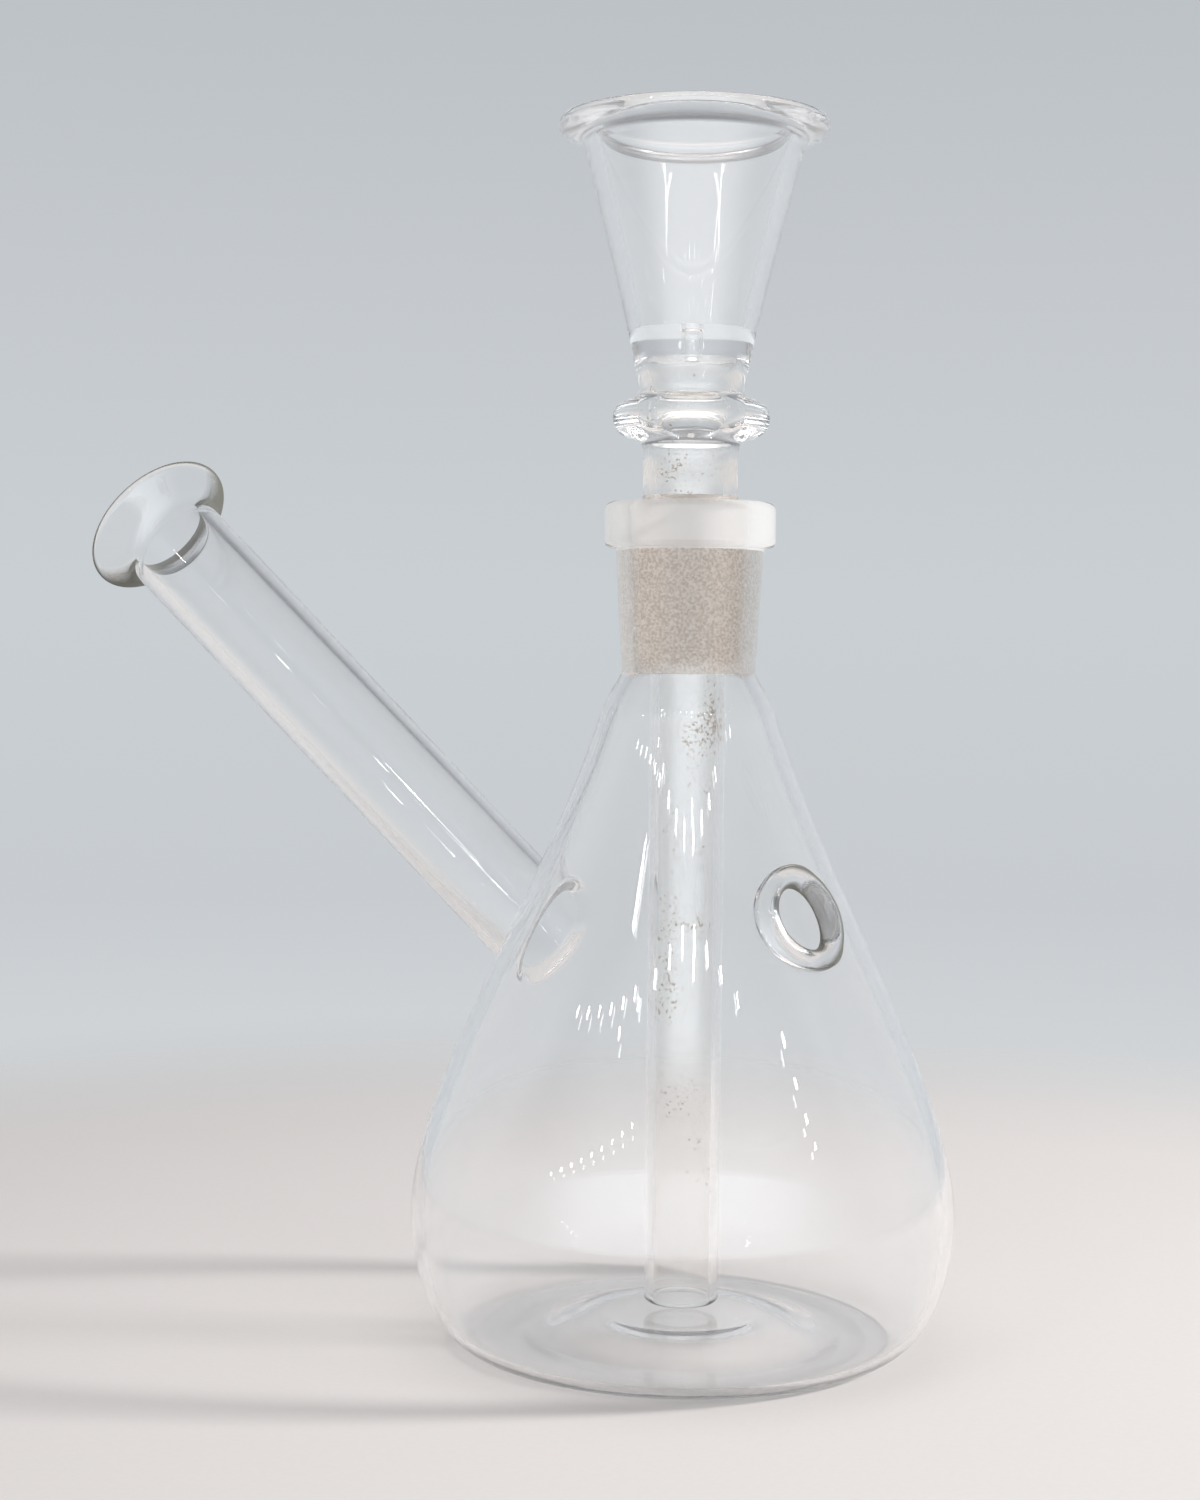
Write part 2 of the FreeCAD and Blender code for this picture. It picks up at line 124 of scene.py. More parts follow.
def arc(centre, radii, start, end, steps=16, slot=CLEAR):
    """Arc of an ellipse from angle start to angle end, in degrees."""
    points, tangents = [], []
    for i in range(steps + 1):
        a = math.radians(start + (end - start) * i / steps)
        points.append((centre[0] + radii[0] * math.cos(a), centre[1] + radii[1] * math.sin(a)))
        way = 1 if end > start else -1
        tangents.append((-way * radii[0] * math.sin(a), way * radii[1] * math.cos(a)))
    return Run(points, tangents, slot)


def back(run):
    """The same stretch run the other way."""
    other = Run([], [])
    other.points = run.points[::-1]
    other.normals = [(-a, -b) for a, b in run.normals[::-1]]
    other.slot = run.slot
    return other


def joint_radius(height):
    """Radius of the ground joint, 18.8 mm across at its top and tapered 1 in 10."""
    return JOINT_RADIUS - (JOINT_TOP - height) * JOINT_SLOPE


def side_poles(inset):
    """Two spans of the flask's side from its girth up to the shoulder, moved in by the wall."""
    drop = inset * 0.455
    girth = (GIRTH[0] - inset, GIRTH[1])
    waist = (WAIST[0] - inset, WAIST[1] - drop)
    shoulder = (SHOULDER[0] - inset, SHOULDER[1] - drop)
    lower = (girth, (girth[0], girth[1] + 9.3), (waist[0] + 5.9, waist[1] - 13.0), waist)
    upper = (waist, (waist[0] - 5.9, waist[1] + 13.0),
             (shoulder[0] + 4.0, shoulder[1] - 13.0), shoulder)
    return lower, upper


def flask_outer_runs():
    lower, upper = side_poles(0)
    reach = (GIRTH[0] - RING_OUTER) * QUARTER
    return [
        straight((0, KICK_HEIGHT), (KICK_RADIUS, KICK_HEIGHT), 10),
        bezier((KICK_RADIUS, KICK_HEIGHT), (17.5, KICK_HEIGHT), (19, 0), (RING_INNER, 0)),
        straight((RING_INNER, 0), (RING_OUTER, 0), 4),
        bezier((RING_OUTER, 0), (RING_OUTER + reach, 0),
               (GIRTH[0], GIRTH[1] * (1 - QUARTER)), GIRTH, steps=32),
        bezier(*lower, steps=32), bezier(*upper, steps=32),
        bezier(upper[-1], (12.9, 100.4), (11.4, 102.6), (BULB_TOP_RADIUS, JOINT_BOTTOM), steps=10)]


def flask_inner_runs():
    lower, upper = side_poles(WALL)
    radius, trough, floor = GIRTH[0] - WALL, RING_OUTER + 0.6, KICK_HEIGHT + WALL
    neck = joint_radius(JOINT_BOTTOM)
    reach = (radius - trough) * QUARTER
    return [
        straight((0, floor), (KICK_RADIUS, floor), 10),
        bezier((KICK_RADIUS, floor), (17.5, floor), (20.5, WALL), (RING_INNER + 1.5, WALL)),
        straight((RING_INNER + 1.5, WALL), (trough, WALL), 4),
        bezier((trough, WALL), (trough + reach, WALL),
               (radius, WALL + (GIRTH[1] - WALL) * (1 - QUARTER)), (radius, GIRTH[1]), steps=32),
        bezier(*lower, steps=32), bezier(*upper, steps=32),
        bezier(upper[-1], (upper[-1][0] - 0.8, upper[-1][1] + 2.6),
               (neck + 1.3, JOINT_BOTTOM - 2.4), (neck, JOINT_BOTTOM), steps=10)]


OUTER_RUNS = flask_outer_runs()
INNER_RUNS = flask_inner_runs()


def side_table(runs):
    """Radius and outward normal of the flask's side against height, for lookups."""
    points = [p for run in runs for p in run.points]
    normals = [n for run in runs for n in run.normals]
    z = np.array([p[1] for p in points])
    order = np.argsort(z, kind="stable")
    columns = [np.array(c)[order] for c in ([p[0] for p in points], [n[0] for n in normals],
                                            [n[1] for n in normals])]
    return (z[order], *columns)


def table_for(inset):
    """Dense lookup table of one side surface of the flask, between heel and shoulder."""
    runs = OUTER_RUNS if inset == 0 else INNER_RUNS
    lower, upper = (bezier(*poles, steps=400) for poles in side_poles(inset))
    return side_table([runs[-4], lower, upper, runs[-1]])


OUTER_TABLE = table_for(0)
INNER_TABLE = table_for(WALL)


def side_normal(table, points):
    """Outward normals of the flask's side at points on it."""
    z = points[:, 2]
    nr = np.interp(z, table[0], table[2])
    nz = np.interp(z, table[0], table[3])
    r = np.hypot(points[:, 0], points[:, 1])
    normals = np.stack((points[:, 0] / r * nr, points[:, 1] / r * nr, nz), axis=1)
    return normals / np.linalg.norm(normals, axis=1)[:, None]


# ---- meshes -----------------------------------------------------------------------------
class Shell:
    """Vertices, faces, a slot for every face and a normal for every corner."""

    def __init__(self):
        self.points, self.faces, self.slots, self.normals = [], [], [], []

    def face(self, corners, normals, slot):
        self.faces.append(corners)
        self.normals.extend(normals)
        self.slots.append(slot)

    def mesh(self, name, shading=True):
        mesh = bpy.data.meshes.new(name)
        mesh.from_pydata([(p[0] * MM, p[1] * MM, p[2] * MM) for p in self.points], [], self.faces)
        mesh.polygons.foreach_set("material_index", self.slots)
        mesh.polygons.foreach_set("use_smooth", [True] * len(self.faces))
        if shading:
            mesh.normals_split_custom_set([tuple(n) for n in self.normals])
        mesh.update()
        return mesh


def turned(runs, segments=SEGMENTS):
    """Shell of an outline turned once about Z.  It ends where it starts, or on the axis."""
    shell = Shell()
    circle = [(math.cos(2 * math.pi * k / segments), math.sin(2 * math.pi * k / segments))
              for k in range(segments)]
    rings = []

    def ring(point):
        if point[0] < 1e-6:
            shell.points.append((0, 0, point[1]))
            return [len(shell.points) - 1]
        first = len(shell.points)
        shell.points.extend((point[0] * c, point[0] * s, point[1]) for c, s in circle)
        return list(range(first, first + segments))

    start = ring(runs[0].points[0])
    closed = math.dist(runs[0].points[0], runs[-1].points[-1]) < 1e-6
    current = start
    for index, run in enumerate(runs):
        for i in range(len(run.points) - 1):
            last = index == len(runs) - 1 and i == len(run.points) - 2
            following = start if last and closed else ring(run.points[i + 1])
            rings.append((current, following, run.normals[i], run.normals[i + 1], run.slot))
            current = following
    for low, high, n0, n1, slot in rings:
        for k in range(segments):
            m = (k + 1) % segments
            c0, c1 = circle[k], circle[m]
            corners, normals = [], []
            for ids, normal, spots in ((low, n0, (k, m)), (high, n1, (m, k))):
                for spot, c in zip(spots, (c0, c1) if spots[0] == k else (c1, c0)):
                    if len(ids) == 1 and corners and corners[-1] == ids[0]:
                        continue
                    corners.append(ids[spot] if len(ids) > 1 else ids[0])
                    normals.append((normal[0] * c[0], normal[0] * c[1], normal[1]))
            shell.face(corners, normals, slot)
    return shell


def axes(base, azimuth, tilt):
    """Matrix that lays a shape made about Z along an axis that leans out and up."""
    turn = Matrix.Rotation(azimuth, 3, "Z") @ Matrix.Rotation(math.pi / 2 - tilt, 3, "Y")
    return np.array(turn), base


MOUTH = axes(MOUTH_BASE, math.pi, MOUTH_TILT)
VENT = axes(VENT_BASE, VENT_AZIMUTH, VENT_SLOPE)


def laid(shell, place):
    """The shell moved from about Z to a leaning axis."""
    turn, base = place
    shell.points = [tuple(turn @ np.array(p) + base) for p in shell.points]
    shell.normals = [tuple(turn @ np.array(n)) for n in shell.normals]
    return shell


def on_surface(place, table, radius, angles, low, high):
    """Heights along a leaning axis at which a cylinder about it meets a side of the flask."""
    turn, base = place
    radial = np.stack((radius * np.cos(angles), radius * np.sin(angles), 0 * angles), axis=1)
    foot = radial @ turn.T + base
    axis = turn[:, 2]
    lo, hi = np.full(len(angles), low), np.full(len(angles), high)
    for _ in range(48):
        middle = (lo + hi) / 2
        p = foot + middle[:, None] * axis
        inside = np.hypot(p[:, 0], p[:, 1]) < np.interp(p[:, 2], table[0], table[1])
        lo, hi = np.where(inside, middle, lo), np.where(inside, hi, middle)
    return (lo + hi) / 2


def wrapped(columns, place, pinned):
    """Shell of a piece given as closed outlines, one for every angle about a leaning axis.
    columns are (radii, heights, slot) strips whose arrays are indexed [step][angle]; pinned
    gives known normals for a strip's first or last step."""
    turn, base = place
    shell = Shell()
    count = columns[0][0].shape[1]
    angles = 2 * np.pi * np.arange(count) / count
    strips, total = [], 0
    for radii, heights, slot in columns:
        radii, heights = radii[:-1], heights[:-1]
        strips.append((total, len(radii), slot))
        total += len(radii)
        for r, h in zip(radii, heights):
            local = np.stack((r * np.cos(angles), r * np.sin(angles), h), axis=1)
            shell.points.extend(map(tuple, local @ turn.T + base))
    points = np.array(shell.points).reshape(total, count, 3)
    for index, (first, length, slot) in enumerate(strips):
        rows = [(first + i) % total for i in range(length + 1)]
        grid = points[rows]
        along = np.gradient(grid, axis=0)
        around = np.roll(grid, -1, axis=1) - np.roll(grid, 1, axis=1)
        normals = np.cross(around, along)
        normals /= np.linalg.norm(normals, axis=2)[:, :, None] + 1e-12
        for step, known in pinned.get(index, {}).items():
            normals[step] = known
        for i in range(length):
            a, b = rows[i], rows[i + 1]
            for k in range(count):
                m = (k + 1) % count
                shell.face([a * count + k, a * count + m, b * count + m, b * count + k],
                           [tuple(normals[i][k]), tuple(normals[i][m]),
                            tuple(normals[i + 1][m]), tuple(normals[i + 1][k])], slot)
    return shell


# ---- pieces -----------------------------------------------------------------------------
def flask_body_mesh():
    """Blown bulb: a turned shell cut where the weld and the vent's rim take over."""
    inner = [back(run) for run in reversed(INNER_RUNS)]
    for run in inner:
        run.slot = GROUND       # marks the inner wall until shade_flask has seen it
    cap = straight(OUTER_RUNS[-1].points[-1], inner[0].points[0], slot=WELD)
    body = turned([*OUTER_RUNS, cap, *inner], 224).mesh("flask_shell", shading=False)
    holder = bpy.data.objects.new("flask_shell", body)
    bpy.context.scene.collection.objects.link(holder)
    for slot in range(3):
        body.materials.append(bpy.data.materials.new(f"slot_{slot}"))
    cutters = []
    for place, radius, low, high in ((MOUTH, WELD_RADIUS, 5.0, 60.0), (VENT, VENT_REACH, -12.0, 8.0)):
        corners = [(0, low), (radius, low), (radius, high), (0, high)]
        runs = [straight(a, b, slot=WELD) for a, b in zip(corners, corners[1:])]
        mesh = laid(turned(runs), place).mesh("cutter", shading=False)
        for slot in range(3):
            mesh.materials.append(body.materials[slot])
        cutter = bpy.data.objects.new("cutter", mesh)
        bpy.context.scene.collection.objects.link(cutter)
        cutters.append(cutter)
        cut = holder.modifiers.new("cut", "BOOLEAN")
        cut.operation, cut.solver, cut.object = "DIFFERENCE", "EXACT", cutter
    bpy.context.view_layer.update()
    shape = holder.evaluated_get(bpy.context.evaluated_depsgraph_get())
    mesh = bpy.data.meshes.new_from_object(shape)
    for thing in [holder, *cutters]:
        bpy.data.objects.remove(thing)
    shade_flask(mesh)
    slots = [face.material_index for face in mesh.polygons]
    mesh.materials.clear()
    mesh.polygons.foreach_set("material_index", slots)
    return mesh


def profile_tree(runs):
    """Closest-point search over an outline, and the normals that belong to its points."""
    found = []
    for run in runs:
        for i in range(len(run.points) - 1):
            a, b = np.array(run.points[i]), np.array(run.points[i + 1])
            na, nb = np.array(run.normals[i]), np.array(run.normals[i + 1])
            for t in np.linspace(0, 1, 40, endpoint=False):
                found.append((a + (b - a) * t, na + (nb - na) * t))
    tree = KDTree(len(found))
    for i, (point, _) in enumerate(found):
        tree.insert((point[0], point[1], 0), i)
    tree.balance()
    return tree, [normal for _, normal in found]


def shade_flask(mesh):
    """True normals of the turned outline for every corner of the cut shell.  The inner wall
    comes marked as GROUND and leaves as CLEAR."""
    trees = {CLEAR: profile_tree(OUTER_RUNS), GROUND: profile_tree(INNER_RUNS)}
    signs = {CLEAR: 1, GROUND: -1}
    normals = []
    for face in mesh.polygons:
        slot = face.material_index
        for corner in face.vertices:
            co = mesh.vertices[corner].co
            if slot == WELD:
                normals.append(tuple(face.normal))
                continue
            r = math.hypot(co.x, co.y) / MM
            tree, known = trees[slot]
            nr, nz = known[tree.find((r, co.z / MM, 0))[1]] * signs[slot]
            spread = max(r, 1e-6) * MM
            normals.append(tuple(Vector((co.x / spread * nr, co.y / spread * nr, nz)).normalized()))
    for face in mesh.polygons:
        face.use_smooth = True
    mesh.normals_split_custom_set(normals)
    for face in mesh.polygons:
        if face.material_index == GROUND:
            face.material_index = CLEAR


def corner_blend(table, pipe, fillet, angles):
    """Where the mouth tube's wall meets a side of the flask: the surface from the weld's edge
    in to the tube, rounded into the tube's wall.  Gives radii and heights as [step][angle]."""
    fan = np.linspace(pipe, WELD_RADIUS, 40)
    heights = np.array([on_surface(MOUTH, table, r, angles, 8.0, 60.0) for r in fan])
    radii_rows, height_rows = [], []
    for k in range(len(angles)):
        curve = heights[:, k]
        slope = math.atan2(curve[18] - curve[0], fan[18] - fan[0])
        corner = math.pi / 2 - slope
        reach = min(fillet / math.tan(corner / 2), WELD_SPREAD / math.cos(slope))
        rounding = reach * math.tan(corner / 2)
        start_r = pipe + reach * math.cos(slope)
        start = np.array((start_r, np.interp(start_r, fan, curve)))
        beyond, before = np.interp((start_r + 0.2, start_r - 0.2), fan, curve)
        local = math.atan2(beyond - before, 0.4)
        end = np.array((pipe, curve[0] + reach))
        pull = 4 / 3 * math.tan((math.pi - corner) / 4) * rounding
        p1 = start - pull * np.array((math.cos(local), math.sin(local)))
        p2 = end - np.array((0, pull))
        outer_r = np.linspace(WELD_RADIUS, start_r, 9)[:-1]
        rows = [(r, np.interp(r, fan, curve)) for r in outer_r]
        for t in np.linspace(0, 1, 25):
            u = 1 - t
            rows.append(u**3 * start + 3 * u * u * t * p1 + 3 * u * t * t * p2 + t**3 * end)
        for t in (0.33, 0.66, 1.0):
            rows.append((pipe, end[1] + (TUBE_START - end[1]) * t))
        radii_rows.append([row[0] for row in rows])
        height_rows.append([row[1] for row in rows])
    return np.array(radii_rows).T, np.array(height_rows).T


def weld_mesh():
    """Ring of worked glass that blends the wall into the foot of the mouth tube."""
    angles = 2 * np.pi * np.arange(SEGMENTS) / SEGMENTS
    outer = corner_blend(OUTER_TABLE, TUBE_START_RADIUS, WELD_FILLET, angles)
    inner = corner_blend(INNER_TABLE, BORE, WELD_INNER_FILLET, angles)
    cap = (np.array([outer[0][-1], inner[0][-1]]), np.array([outer[1][-1], inner[1][-1]]))
    edge = (np.array([inner[0][0], outer[0][0]]), np.array([inner[1][0], outer[1][0]]))
    turn, base = MOUTH
    pinned = {}
    for index, (strip, table, step, sign) in enumerate(
            ((outer, OUTER_TABLE, 0, 1), (inner, INNER_TABLE, -1, -1))):
        radii, heights = strip[0][0], strip[1][0]
        local = np.stack((radii * np.cos(angles), radii * np.sin(angles), heights), axis=1)
        pinned[index * 2] = {step: sign * side_normal(table, local @ turn.T + base)}
        radial = np.stack((np.cos(angles), np.sin(angles), 0 * angles), axis=1) @ turn.T
        pinned[index * 2][-1 - step] = sign * radial
    columns = [(*outer, CLEAR), (*cap, WELD), (inner[0][::-1], inner[1][::-1], CLEAR), (*edge, WELD)]
    return wrapped(columns, MOUTH, pinned).mesh("mouth_tube_weld")


def soft_max(a, b, width):
    """The greater of two heights, rounded where they are within a width of each other."""
    blend = np.maximum(width - np.abs(a - b), 0) / width
    return np.maximum(a, b) + blend * blend * width / 4


def vent_rim_mesh():
    """Fire-polished ring round the vent hole, which melts into the wall about it."""
    angles = 2 * np.pi * np.arange(SEGMENTS) / SEGMENTS
    bead, thick = VENT_BEAD
    melt, fade_out = 2.2, 0.5   # how softly the bead runs into the wall, and over what last reach
    reach = np.linspace(VENT_REACH, bead, 26)
    outer = np.array([on_surface(VENT, OUTER_TABLE, r, angles, -10.0, 6.0) for r in reach])
    inner = np.array([on_surface(VENT, INNER_TABLE, r, angles, -12.0, 6.0) for r in reach])
    centre = 0.5 * (-VENT_DEPTH + outer[-1] - 0.6)
    arch = np.sqrt(np.maximum(thick**2 - (reach - bead) ** 2, 0))[:, None]
    fade = np.clip((VENT_REACH - reach) / fade_out, 0, 1)[:, None]
    top = np.where(fade > 0, soft_max(outer, centre + arch, melt * fade + 1e-6), outer)
    bottom = np.where(fade > 0, -soft_max(-inner, arch - centre, melt * fade + 1e-6), inner)
    bend = np.linspace(0, np.pi, 25)
    bore_r = bead - (bead - VENT_HOLE) * np.sin(bend)
    half_top, half_bottom = top[-1], bottom[-1]
    middle, half = (half_top + half_bottom) / 2, (half_top - half_bottom) / 2
    bore_h = middle[None, :] + half[None, :] * np.cos(bend)[:, None]
    ones = np.ones((1, SEGMENTS))
    columns = [(reach[:, None] * ones, top, CLEAR), (bore_r[:, None] * ones, bore_h, CLEAR),
               (reach[::-1, None] * ones, bottom[::-1], CLEAR),
               (VENT_REACH * np.ones((2, SEGMENTS)), np.array([bottom[0], top[0]]), WELD)]
    turn, base = VENT
    pinned = {}
    for index, (heights, table, step, sign) in enumerate(
            ((top[0], OUTER_TABLE, 0, 1), (bottom[0], INNER_TABLE, -1, -1))):
        local = np.stack((VENT_REACH * np.cos(angles), VENT_REACH * np.sin(angles), heights), axis=1)
        pinned[index * 2] = {step: sign * side_normal(table, local @ turn.T + base)}
    return wrapped(columns, VENT, pinned).mesh("vent_rim")


def neck_socket_runs():
    low, high = joint_radius(JOINT_BOTTOM), joint_radius(RIM_BOTTOM)
    return [
        bezier((BULB_TOP_RADIUS, JOINT_BOTTOM), (10.3, 104.9), (10.48, 106.2), (10.56, 107.2), steps=8),
        straight((10.56, 107.2), (SOCKET_RADIUS, RIM_BOTTOM), 6),
        straight((SOCKET_RADIUS, RIM_BOTTOM), (high, RIM_BOTTOM), slot=WELD),
        straight((high, RIM_BOTTOM), (low, JOINT_BOTTOM), 8, GROUND),
        straight((low, JOINT_BOTTOM), (BULB_TOP_RADIUS, JOINT_BOTTOM), slot=WELD)]


def socket_rim_runs():
    low, high = joint_radius(RIM_BOTTOM), joint_radius(JOINT_TOP)
    edge = RIM_RADIUS - RIM_ROUND
    return [
        straight((low, RIM_BOTTOM), (SOCKET_RADIUS, RIM_BOTTOM), slot=WELD),
        bezier((SOCKET_RADIUS, RIM_BOTTOM), (11.55, RIM_BOTTOM + 0.35),
               (11.7, RIM_BOTTOM + 0.1), (edge + 0.1, RIM_BOTTOM + 0.1), steps=6),
        arc((edge + 0.1, RIM_BOTTOM + RIM_ROUND), (RIM_ROUND - 0.1, RIM_ROUND - 0.1), -90, 0),
        straight((RIM_RADIUS, RIM_BOTTOM + RIM_ROUND), (RIM_RADIUS, RIM_TOP - RIM_ROUND), 3),
        arc((edge, RIM_TOP - RIM_ROUND), (RIM_ROUND, RIM_ROUND), 0, 90),
        straight((edge, RIM_TOP), (high + 0.8, RIM_TOP), 2),
        arc((high + 0.8, RIM_TOP - 0.5), (0.8, 0.5), 90, 180, 8),
        straight((high, RIM_TOP - 0.5), (low, RIM_BOTTOM), 6, GROUND)]


def mouth_tube_runs():
    return [
        straight((TUBE_START_RADIUS, TUBE_START), (TUBE_END_RADIUS, TUBE_END), 24),
        straight((TUBE_END_RADIUS, TUBE_END), (BORE, TUBE_END), slot=WELD),
        straight((BORE, TUBE_END), (BORE, TUBE_START), 24),
        straight((BORE, TUBE_START), (TUBE_START_RADIUS, TUBE_START), slot=WELD)]


def mouth_lip_runs():
    centre, size, edge = 12.75, 1.15, TUBE_END + 6.2
    lean = size * DIAGONAL
    outer_end, inner_end = (centre + lean, edge - lean), (centre - lean, edge + lean)
    return [
        bezier((TUBE_END_RADIUS, TUBE_END), (TUBE_END_RADIUS + 0.1, TUBE_END + 2.6),
               (outer_end[0] - 2.0, outer_end[1] - 2.0), outer_end),
        arc((centre, edge), (size, size), -45, 135, 20),
        bezier(inner_end, (inner_end[0] - 2.2, inner_end[1] - 2.2),
               (BORE, TUBE_END + 3.0), (BORE, TUBE_END)),
        straight((BORE, TUBE_END), (TUBE_END_RADIUS, TUBE_END), slot=WELD)]


def down_tube_runs():
    edge = (TUBE_RADIUS - TUBE_BORE) / 2
    return [
        arc((TUBE_BORE + edge, TUBE_TIP + edge), (edge, edge), -180, 0),
        straight((TUBE_RADIUS, TUBE_TIP + edge), (TUBE_RADIUS, CONE_BOTTOM), 40),
        straight((TUBE_RADIUS, CONE_BOTTOM), (TUBE_BORE, CONE_BOTTOM), slot=WELD),
        straight((TUBE_BORE, CONE_BOTTOM), (TUBE_BORE, TUBE_TIP + edge), 40)]


def ground_cone_runs():
    low, high = joint_radius(CONE_BOTTOM) - CONE_GAP, joint_radius(CONE_TOP) - CONE_GAP
    edge, widening = 0.5, 0.02
    shelf = CONE_BOTTOM + edge
    return [
        straight((TUBE_RADIUS, CONE_BOTTOM), (low - edge, CONE_BOTTOM), 2),
        arc((low - edge, shelf), (edge + widening, edge), -90, 0, 6),
        straight((low + widening, shelf), (high, CONE_TOP), 10, GROUND),
        bezier((high, CONE_TOP), (high, 131.0), (NECK_RADIUS, 131.0), (NECK_RADIUS, NECK_BOTTOM)),
        straight((NECK_RADIUS, NECK_BOTTOM), (NECK_BORE, NECK_BOTTOM), slot=WELD),
        straight((NECK_BORE, NECK_BOTTOM), (TUBE_BORE, CONE_BOTTOM), 10),
        straight((TUBE_BORE, CONE_BOTTOM), (TUBE_RADIUS, CONE_BOTTOM), slot=WELD)]


def lower_neck_runs():
    return [
        bezier((NECK_RADIUS, NECK_BOTTOM), (7.2, 134.5), (7.3, 138.4), (RING_FOOT, RING_BOTTOM)),
        straight((RING_FOOT, RING_BOTTOM), (RING_BORE, RING_BOTTOM), slot=WELD),
        bezier((RING_BORE, RING_BOTTOM), (6.3, 137.4), (5.2, 134.8), (NECK_BORE, NECK_BOTTOM)),
        straight((NECK_BORE, NECK_BOTTOM), (NECK_RADIUS, NECK_BOTTOM), slot=WELD)]


def grip_ring_runs():
    return [
        bezier((RING_FOOT, RING_BOTTOM), (8.2, 140.8), (12.15, 140.5), (12.15, 143.9)),
        bezier((12.15, 143.9), (12.15, 146.9), (8.6, 146.6), (RING_HEAD, RING_TOP)),
        straight((RING_HEAD, RING_TOP), (RING_TOP_BORE, RING_TOP), slot=WELD),
        bezier((RING_TOP_BORE, RING_TOP), (5.5, 145.5), (5.6, 142.0), (RING_BORE, RING_BOTTOM)),
        straight((RING_BORE, RING_BOTTOM), (RING_FOOT, RING_BOTTOM), slot=WELD)]


def upper_neck_runs():
    return [
        bezier((RING_HEAD, RING_TOP), (8.2, 149.2), (8.8, 151.4), (FLOOR_FOOT, FLOOR_BOTTOM)),
        straight((FLOOR_FOOT, FLOOR_BOTTOM), (FLOOR_BORE, FLOOR_BOTTOM), slot=WELD),
        bezier((FLOOR_BORE, FLOOR_BOTTOM), (7.2, 150.8), (6.2, 150.4), (RING_TOP_BORE, RING_TOP)),
        straight((RING_TOP_BORE, RING_TOP), (RING_HEAD, RING_TOP), slot=WELD)]


def bowl_floor_runs():
    hole, lip, lip_height = 1.15, 1.6, 0.4
    rounding = (0.45, lip_height)
    low, high = 153.4, 157.2
    return [
        straight((FLOOR_FOOT, FLOOR_BOTTOM), (BOWL_FOOT, FLOOR_TOP), 4),
        straight((BOWL_FOOT, FLOOR_TOP), (BOWL_BORE, FLOOR_TOP), slot=WELD),
        straight((BOWL_BORE, FLOOR_TOP), (lip, FLOOR_TOP), 3),
        arc((lip, high), rounding, 90, 180, 6),
        straight((hole, high), (hole, low), 3),
        arc((lip, low), rounding, 180, 270, 6),
        straight((lip, FLOOR_BOTTOM), (FLOOR_BORE, FLOOR_BOTTOM), 3),
        straight((FLOOR_BORE, FLOOR_BOTTOM), (FLOOR_FOOT, FLOOR_BOTTOM), slot=WELD)]


def bowl_cone_runs():
    return [
        bezier((BOWL_FOOT, FLOOR_TOP), (11.9, 166.0), (15.0, 178.0), (BOWL_MOUTH, BOWL_TOP), steps=32),
        straight((BOWL_MOUTH, BOWL_TOP), (BOWL_MOUTH_BORE, BOWL_TOP), slot=WELD),
        bezier((BOWL_MOUTH_BORE, BOWL_TOP), (12.6, 178.0), (9.9, 168.0), (BOWL_BORE, FLOOR_TOP), steps=32),
        straight((BOWL_BORE, FLOOR_TOP), (BOWL_FOOT, FLOOR_TOP), slot=WELD)]


def bowl_rim_runs():
    nose, crest = 1.4, (15.8, 189.1)
    centre, height, lean = BOWL_RADIUS - nose, HEIGHT - nose, nose * DIAGONAL
    low, high = (centre + lean, height - lean), (centre + lean, height + lean)
    return [
        bezier((BOWL_MOUTH, BOWL_TOP), (17.35, 186.7), (low[0] - 1.0, low[1] - 1.0), low),
        arc((centre, height), (nose, nose), -45, 45),
        bezier(high, (centre, HEIGHT), (16.6, 190.5), crest),
        bezier(crest, (15.2, 188.0), (14.9, 187.1), (BOWL_MOUTH_BORE, BOWL_TOP)),
        straight((BOWL_MOUTH_BORE, BOWL_TOP), (BOWL_MOUTH, BOWL_TOP), slot=WELD)]


TURNED = {
    "neck_socket": (neck_socket_runs, "flask", None), "socket_rim": (socket_rim_runs, "flask", None),
    "mouth_tube": (mouth_tube_runs, "flask", MOUTH), "mouth_lip": (mouth_lip_runs, "flask", MOUTH),
    "bowl_rim": (bowl_rim_runs, "bowl", None), "bowl_cone": (bowl_cone_runs, "bowl", None),
    "bowl_floor": (bowl_floor_runs, "bowl", None), "upper_neck": (upper_neck_runs, "bowl", None),
    "grip_ring": (grip_ring_runs, "bowl", None), "lower_neck": (lower_neck_runs, "bowl", None),
    "ground_cone": (ground_cone_runs, "bowl", None), "down_tube": (down_tube_runs, "bowl", None)}


def glass_piece(node, mesh, body):
    """The mesh as the piece that stands for a CAD node and rides on its body."""
    for material in FINISHES[NODE_FINISH.get(node, "clear")]:
        mesh.materials.append(material)
    piece = bpy.data.objects.new(node + "_glass", mesh)
    bpy.context.scene.collection.objects.link(piece)
    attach(piece, body)
    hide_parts(node)
    return piece


